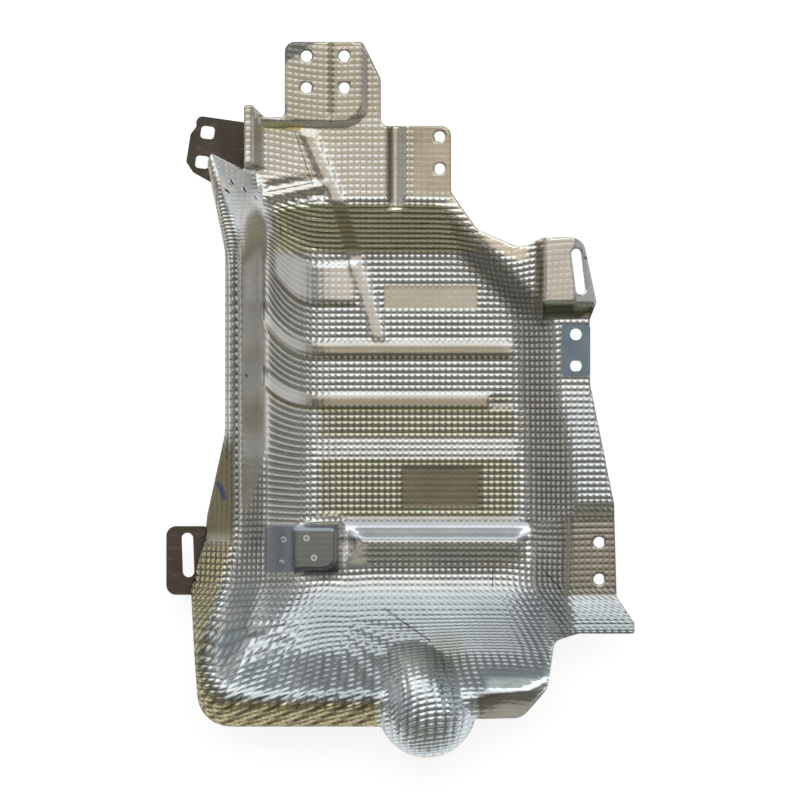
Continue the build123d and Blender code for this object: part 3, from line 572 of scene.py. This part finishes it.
class Value:
    """Output of a shader node. It adds, multiplies and compares as numbers do, by adding Math nodes."""

    def __init__(self, socket):
        self.socket = socket

    def math(self, operation, *others, back=False):
        """Math node on this value and others. With back, the others come before it."""
        node = self.socket.node.id_data.nodes.new("ShaderNodeMath")
        node.operation = operation
        for place, item in zip(node.inputs, (*others, self) if back else (self, *others)):
            if isinstance(item, Value):
                self.socket.node.id_data.links.new(item.socket, place)
            else:
                place.default_value = item
        return Value(node.outputs[0])

    def __add__(self, other): return self.math("ADD", other)
    def __radd__(self, other): return self.math("ADD", other, back=True)
    def __sub__(self, other): return self.math("SUBTRACT", other)
    def __rsub__(self, other): return self.math("SUBTRACT", other, back=True)
    def __mul__(self, other): return self.math("MULTIPLY", other)
    def __rmul__(self, other): return self.math("MULTIPLY", other, back=True)
    def __pow__(self, other): return self.math("POWER", other)
    def __lt__(self, other): return self.math("LESS_THAN", other)

    def within_one(self):
        """The value, kept between 0 and 1."""
        return self.math("MAXIMUM", 0.0).math("MINIMUM", 1.0)


def highest(values):
    """The highest of several values at each place."""
    top = values[0]
    for value in values[1:]:
        top = top.math("MAXIMUM", value)
    return top


class Finish:
    """A material whose nodes are added one call at a time, round one Principled shader."""

    def __init__(self, name):
        self.material = bpy.data.materials.new(name)
        self.material.use_nodes = True
        self.tree = self.material.node_tree
        self.shader = self.tree.nodes["Principled BSDF"]

    def node(self, kind, settings=(), **sockets):
        """Adds a node of that type: settings first, then socket values or links, by name or number."""
        node = self.tree.nodes.new("ShaderNode" + kind)
        for key, value in dict(settings).items():
            setattr(node, key, value)
        for key, value in sockets.items():
            self.feed(node.inputs[int(key[1:]) if key[1:].isdigit() else key.replace("_", " ")], value)
        return node

    def feed(self, socket, value):
        """Links a value to a socket, or sets the socket to a plain number or colour."""
        if isinstance(value, Value):
            self.tree.links.new(value.socket, socket)
        else:
            socket.default_value = value

    def ramp(self, factor, *stops):
        """Colour or grey along a factor, from stops of place and colour."""
        node = self.node("ValToRGB", Fac=factor)
        elements = node.color_ramp.elements
        while len(elements) < len(stops):
            elements.new(0.5)
        for element, (place, colour) in zip(elements, stops):
            element.position = place
            element.color = (*colour, 1)
        return Value(node.outputs[0])

    def mix(self, factor, one, two):
        """Colour between two colours, by a factor."""
        node = self.node("Mix", {"data_type": "RGBA"})
        self.feed(node.inputs[0], factor)
        self.feed(node.inputs[6], one if isinstance(one, Value) else (*one, 1))
        self.feed(node.inputs[7], two if isinstance(two, Value) else (*two, 1))
        return Value(node.outputs[2])

    def noise(self, place, scale, detail=3.0, rough=0.55):
        """Cloudy value from 0 to 1 at a place."""
        node = self.node("TexNoise", Vector=place, Scale=scale, Detail=detail, Roughness=rough)
        return Value(node.outputs[0])

    def place(self):
        """Object coordinates in metres."""
        return Value(self.node("TexCoord").outputs["Object"])

    def stretched(self, place, scale):
        """A place with its axes scaled."""
        return Value(self.node("Mapping", Vector=place, Scale=scale).outputs[0])

    def split(self, place):
        """The x, y and z of a place."""
        return [Value(socket) for socket in self.node("SeparateXYZ", Vector=place).outputs]

    def attribute(self, name, output="Vector"):
        """Value that the mesh carries on its points."""
        return Value(self.node("Attribute", {"attribute_name": name}).outputs[output])

    def stroke(self, x, y, start, end, width):
        """1 on a line between two plan points in millimetres and 0 beyond its half width, softly."""
        (ax, ay), (bx, by) = np.multiply(start, MM), np.multiply(end, MM)
        ex, ey = bx - ax, by - ay
        dx, dy = x - ax, y - ay
        share = ((dx * ex + dy * ey) * (1 / (ex * ex + ey * ey))).within_one()
        away_x, away_y = dx - share * ex, dy - share * ey
        away = (away_x * away_x + away_y * away_y) ** 0.5
        solid, soft = width * MM * 0.4, width * MM * 0.6
        return (1 - (away - solid) * (1 / soft)).within_one()

    def finish(self, bump=None, strength=0.5, distance=0.001, **sockets):
        """Feeds the shader's sockets and its bump."""
        for key, value in sockets.items():
            self.feed(self.shader.inputs[key.replace("_", " ")], value)
        if bump is not None:
            node = self.node("Bump", Height=bump, Strength=strength, Distance=distance)
            self.tree.links.new(node.outputs[0], self.shader.inputs["Normal"])
        return self.material


aluminium = Finish("bright_embossed_aluminium")
place = aluminium.place()
x_at, y_at, _ = aluminium.split(place)
s, t, _ = aluminium.split(aluminium.attribute("blank"))
columns, rows, _ = aluminium.split(aluminium.attribute("relief"))
across = 0.5 + 0.5 * (s * (2 * np.pi)).math("COSINE")
down = 0.5 + 0.5 * (t * (2 * np.pi)).math("COSINE")
rolling = aluminium.noise(aluminium.stretched(place, (260, 2600, 260)), 1.0, 2.0)
cloud = aluminium.noise(place, 28.0, 4.0)
fine_noise = aluminium.noise(place, 160.0, 3.0)
dimple = (1 - columns + columns * across ** 0.7) * down ** 0.7
height = dimple * (0.05 + 0.95 * rows) + rolling * 0.05 + fine_noise * 0.09
# Painted shade: the grooves between the rows and the columns of dimples darken unevenly towards a dark
# olive.
valley_shade = ((1 - down) ** 2.5 * 0.62).math("MAXIMUM", (1 - across) ** 3.0 * columns * 0.5)
valley_shade = valley_shade * (0.06 + 0.94 * rows) * (0.6 + 0.7 * fine_noise)
patches = aluminium.ramp(cloud, (0.35, (0, 0, 0)), (0.7, (1, 1, 1)))
bare = aluminium.mix(patches, (0.60, 0.60, 0.59), (0.70, 0.69, 0.67))
# The bare metal is multiplied by the painted light tone: painted reflections, highlights and shade,
# region by region.
tinted = aluminium.node(
    "Mix", {"data_type": "RGBA", "blend_type": "MULTIPLY"},
    i0=1.0, i6=bare, i7=aluminium.attribute("painted_light_tone", "Color"),
)
colour = aluminium.mix(valley_shade, Value(tinted.outputs[2]), (0.10, 0.10, 0.075))

# Scratches and marks as dark strokes, painted shade along the creases as dark strokes too, and the
# stroke of blue ink on the lip
marks_and_crease_shade = highest([aluminium.stroke(x_at, y_at, start, end, width) for start, end, width in (
    ((-12.8, -167.2), (24, -192.8), 0.9), ((116, -137.6), (128, -150.4), 0.8),
    ((-122.4, 19.6), (-122.2, 19.0), 1.4), ((-108.8, 77.6), (-108.8, 64), 0.9),
    ((-108.8, 26.4), (-108.8, 12), 0.8), ((147.5, 113.6), (149.5, 113.0), 1.2),
    ((74.4, -136), (74.4, -150.4), 0.6), ((-84, 214), (-69.8, 172), 0.45),
    ((-105.6, 166.4), (-69.6, 173.6), 0.7), ((-102.4, 152), (-64, 160), 0.7),
)])
colour = aluminium.mix(marks_and_crease_shade * (0.5 + 0.6 * fine_noise), colour, (0.07, 0.065, 0.055))
ink = aluminium.stroke(x_at + 0.0025 * (fine_noise - 0.5), y_at, (-144.4, -66.8), (-140.0, -78.0), 2.4)
colour = aluminium.mix((ink * (0.7 + 0.7 * cloud)).math("MINIMUM", 1.0), colour, (0.012, 0.025, 0.11))
panel.data.materials.append(aluminium.finish(
    bump=height, strength=0.55, distance=0.0010,
    Base_Color=colour, Metallic=1 - 0.9 * ink, Roughness=0.17 + 0.14 * cloud,
))
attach(panel, "root")
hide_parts("shield_panel")

# Brackets: plain steel held behind the sheet, phosphated dark brown-grey, with scuffs drawn out along
# their length.
steel = Finish("phosphated_bracket_steel")
place = steel.place()
cloud = steel.noise(place, 45.0, 5.0)
speckle = steel.noise(place, 900.0, 2.0)
scuffs = steel.noise(steel.stretched(place, (60, 240, 60)), 1.0, 4.0)
worn = steel.ramp(scuffs, (0.55, (0, 0, 0)), (0.75, (1, 1, 1)))
phosphate = steel.mix(cloud, (0.060, 0.045, 0.031), (0.120, 0.096, 0.072))


def dress(finish, *names):
    """Gives pieces of the frame one finish in place of their plain one."""
    for name in names:
        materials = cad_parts[name].data.materials
        materials.clear()
        materials.append(finish)


dress(
    steel.finish(
        bump=speckle * 0.5 + cloud * 0.5, strength=0.3, distance=0.0004, Metallic=0.55,
        Base_Color=steel.mix(worn * 0.5, phosphate, (0.26, 0.23, 0.19)), Roughness=0.42 + 0.2 * cloud,
    ),
    "upper_left_bracket", "lower_left_bracket",
)

# Clinch rivets of the two brackets: flattened by the tool, with a painted highlight as a bright ring on
# each at the bottom and painted shade as a dark slot across each at the top.
rivet = Finish("dull_rivet_metal")
place = rivet.place()
x_at, y_at, _ = rivet.split(place)
cloud = rivet.noise(place, 220.0, 3.0)
lower_rivets = y_at < 0.0
tint = rivet.mix(cloud, (0.20, 0.205, 0.21), (0.34, 0.345, 0.35))
tint = rivet.mix(lower_rivets, (0.80, 0.83, 0.87), tint)
RING_RADIUS, RING_WIDTH = 1.9 * MM, 0.7 * MM
ring_highlights, slot_shades = [], []
for px, py in ((-93.4, -111.8), (-75.1, -110.8), (-95.0, -130.7), (-69.0, -126.6)):
    away = ((x_at - px * MM) ** 2.0 + (y_at - py * MM) ** 2.0) ** 0.5
    off_ring = (away - RING_RADIUS).math("ABSOLUTE") * (1 / RING_WIDTH)
    ring_highlights.append((1 - off_ring).math("MAXIMUM", 0.0))
for px, py in ((-133.9, 173.6), (-124.0, 168.0), (-115.2, 162.4)):
    slot_shades.append(rivet.stroke(x_at, y_at, (px - 0.9, py + 1.6), (px + 0.9, py - 1.6), 0.9))
tint = rivet.mix(highest(ring_highlights), tint, (0.9, 0.9, 0.9))
tint = rivet.mix(highest(slot_shades), tint, (0.03, 0.03, 0.035))
dress(
    rivet.finish(
        bump=cloud, strength=0.3, distance=0.0003, Base_Color=tint, Metallic=1.0,
        Roughness=0.3 + 0.2 * cloud,
    ),
    "upper_bracket_rivets", "lower_bracket_rivets",
)

# Right plate: a small stamping of blued steel lying on the flange, two holes through both.
blued = Finish("blued_steel")
place = blued.place()
cloud = blued.noise(place, 70.0, 5.0)
grain = blued.noise(blued.stretched(place, (300, 3000, 300)), 1.0, 3.0)
dress(
    blued.finish(
        bump=grain, strength=0.2, distance=0.0002, Metallic=0.8, Roughness=0.32 + 0.2 * grain,
        Base_Color=blued.mix(cloud, (0.12, 0.16, 0.205), (0.245, 0.31, 0.36)),
    ),
    "right_plate",
)

# Floor: a wide sheet of white paper, evenly bright to the camera and in reflections, which keeps the
# object's soft shadow.
FLOOR_HALF = 4.0
floor_corners = np.multiply([(-1, -1, 0), (1, -1, 0), (1, 1, 0), (-1, 1, 0)], FLOOR_HALF)
floor = mesh_piece("floor", floor_corners, [0, 1, 2, 3], [4], [False])
paper = Finish("white_paper")
paper.shader.inputs["Base Color"].default_value = (0.45, 0.45, 0.45, 1)
paper.shader.inputs["Roughness"].default_value = 1.0
paper.shader.inputs["Specular IOR Level"].default_value = 0.0
rays = paper.node("LightPath")
seen = Value(rays.outputs["Is Camera Ray"]) + Value(rays.outputs["Is Glossy Ray"])
seen = seen + Value(rays.outputs["Is Transmission Ray"])
paper.feed(paper.shader.inputs["Emission Color"], (1, 1, 1, 1))
paper.feed(paper.shader.inputs["Emission Strength"], seen * 0.80)
floor.data.materials.append(paper.material)


# Studio: a warm ceiling over the bench, a cool window at the far end with a low one below it, and dim
# walls at the sides and the front. The lamps are soft boxes that the camera doesn't see.
def soft_lamp(name, at, turn, size, colour, radiance):
    """Area lamp of that radiance: its power is radiance times its area times pi."""
    data = bpy.data.lights.new(name, "AREA")
    data.shape = "RECTANGLE"
    data.size, data.size_y = size
    data.color = colour
    data.energy = radiance * size[0] * size[1] * np.pi
    lamp = bpy.data.objects.new(name, data)
    lamp.location = at
    lamp.rotation_euler = np.radians(turn)
    lamp.visible_camera = False
    bpy.context.scene.collection.objects.link(lamp)


soft_lamp("ceiling", (0, -0.05, 2.6), (0, 0, 0), (2.4, 0.85), (1.0, 0.86, 0.66), 0.65)
soft_lamp("window", (0, 1.69, 2.17), (-38, 0, 0), (4.2, 2.8), (0.95, 0.98, 1.0), 1.58)
soft_lamp("low_window", (0, 2.9, 0.55), (-80, 0, 0), (4.4, 1.0), (0.84, 0.93, 1.0), 0.32)
soft_lamp("front", (0, -2.2, 1.05), (68, 0, 0), (4.2, 2.0), (0.85, 0.82, 0.46), 0.20)
soft_lamp("left_wall", (-2.4, 0, 1.3), (0, -75, 0), (2.0, 2.6), (1.0, 0.98, 0.95), 0.36)
soft_lamp("right_wall", (2.4, 0, 1.3), (0, 75, 0), (2.0, 2.6), (1.0, 0.98, 0.95), 0.50)

# World: white to the camera and through clear parts, dim in reflections, and a faint fill elsewhere
world = bpy.data.worlds.new("studio")
world.use_nodes = True
tree = world.node_tree
background = tree.nodes["Background"]
background.inputs["Color"].default_value = (1, 1, 1, 1)
rays = tree.nodes.new("ShaderNodeLightPath")
seen = Value(rays.outputs["Is Camera Ray"]) + Value(rays.outputs["Is Transmission Ray"])
strength = seen * 0.88 + Value(rays.outputs["Is Glossy Ray"]) * 0.08 + 0.12
tree.links.new(strength.socket, background.inputs["Strength"])
bpy.context.scene.world = world

# Camera straight above, far back with a long lens, as the photograph was taken. The view is
# VIEW_WIDTH across at MIDDLE_HEIGHT above the floor.
CAMERA_HEIGHT, MIDDLE_HEIGHT, VIEW_WIDTH, SENSOR_WIDTH = 6.03, 0.03, 0.64, 36
camera_data = bpy.data.cameras.new("camera")
camera_data.sensor_width = SENSOR_WIDTH
camera_data.lens = SENSOR_WIDTH * (CAMERA_HEIGHT - MIDDLE_HEIGHT) / VIEW_WIDTH
camera = bpy.data.objects.new("camera", camera_data)
camera.location = (0, 0, CAMERA_HEIGHT)
bpy.context.scene.collection.objects.link(camera)
bpy.context.scene.camera = camera
bpy.context.scene.view_settings.view_transform = "Standard"
